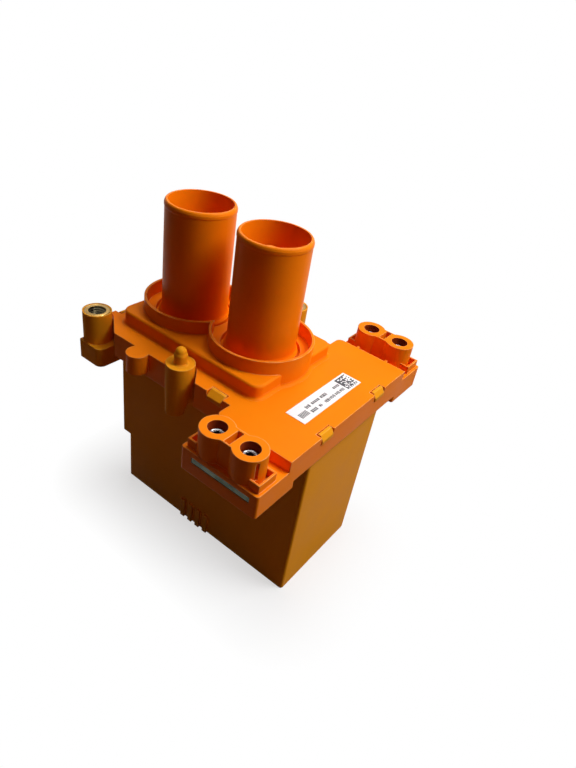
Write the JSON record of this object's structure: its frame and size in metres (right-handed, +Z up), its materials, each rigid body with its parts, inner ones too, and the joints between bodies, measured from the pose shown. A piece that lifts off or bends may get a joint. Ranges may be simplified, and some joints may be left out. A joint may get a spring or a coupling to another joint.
{
  "type": "battery cable junction block",
  "caption": "Moulded orange junction box for high-voltage battery cables: round cable tubes in collars on a clip-on cover, captive terminal screws in guards, bosses and a locating post.",
  "frame": {"origin": "centre of the box's underside, where it stands", "axes": "+X along the box towards the terminal arms, -Y the near side with the post, +Z up out of the cable tubes"},
  "size_m": [0.1365, 0.1306, 0.1596],
  "materials": {
    "housing_plastic": "fine moulded grain, brownish orange",
    "cover_plastic": "fine moulded grain, orange",
    "tube_plastic": "smooth satin orange",
    "label_film": "white printed film",
    "carrier_plastic": "black moulded nylon",
    "cap_plastic": "pale grey moulded",
    "contact_metal": "silver plated",
    "busbar_metal": "dull tin plate",
    "insert_metal": "turned, yellowish zinc",
    "sleeve_steel": "turned steel",
    "screw_steel": "bright zinc"
  },
  "bodies": {
    "block": {"housing": "housing_plastic", "cover": "cover_plastic", "label": "label_film", "left_tube": "tube_plastic", "right_tube": "tube_plastic", "contact_carrier": "carrier_plastic", "left_contact_pin": "contact_metal", "right_contact_pin": "contact_metal", "left_pin_cap": "cap_plastic", "right_pin_cap": "cap_plastic", "left_contact_bolt": "screw_steel", "right_contact_bolt": "screw_steel", "near_busbar": "busbar_metal", "far_busbar": "busbar_metal", "left_mounting_insert": "insert_metal", "far_mounting_insert": "insert_metal", "near_left_sleeve": "sleeve_steel", "near_right_sleeve": "sleeve_steel", "far_left_sleeve": "sleeve_steel", "far_right_sleeve": "sleeve_steel"},
    "near_left_lifter": {"near_left_washer": "screw_steel"},
    "near_right_lifter": {"near_right_washer": "screw_steel"},
    "far_left_lifter": {"far_left_washer": "screw_steel"},
    "far_right_lifter": {"far_right_washer": "screw_steel"},
    "near_left_turner": {"near_left_screw": "screw_steel"},
    "near_right_turner": {"near_right_screw": "screw_steel"},
    "far_left_turner": {"far_left_screw": "screw_steel"},
    "far_right_turner": {"far_right_screw": "screw_steel"}
  },
  "joints": [
    {"name": "near_left_screw_lift", "type": "slide", "parent": "block", "child": "near_left_lifter", "axis": [0, 0, 1], "range_m": [0, 0.0043]},
    {"name": "near_left_screw_turn", "type": "hinge", "parent": "near_left_lifter", "child": "near_left_turner", "pos_m": [0.0295, -0.058, 0.09], "axis": [0, 0, 1], "continuous": true},
    {"name": "near_right_screw_lift", "type": "slide", "parent": "block", "child": "near_right_lifter", "axis": [0, 0, 1], "range_m": [0, 0.0043]},
    {"name": "near_right_screw_turn", "type": "hinge", "parent": "near_right_lifter", "child": "near_right_turner", "pos_m": [0.046, -0.058, 0.09], "axis": [0, 0, 1], "continuous": true},
    {"name": "far_left_screw_lift", "type": "slide", "parent": "block", "child": "far_left_lifter", "axis": [0, 0, 1], "range_m": [0, 0.0043]},
    {"name": "far_left_screw_turn", "type": "hinge", "parent": "far_left_lifter", "child": "far_left_turner", "pos_m": [0.0295, 0.058, 0.09], "axis": [0, 0, 1], "continuous": true},
    {"name": "far_right_screw_lift", "type": "slide", "parent": "block", "child": "far_right_lifter", "axis": [0, 0, 1], "range_m": [0, 0.0043]},
    {"name": "far_right_screw_turn", "type": "hinge", "parent": "far_right_lifter", "child": "far_right_turner", "pos_m": [0.046, 0.058, 0.09], "axis": [0, 0, 1], "continuous": true}
  ]
}
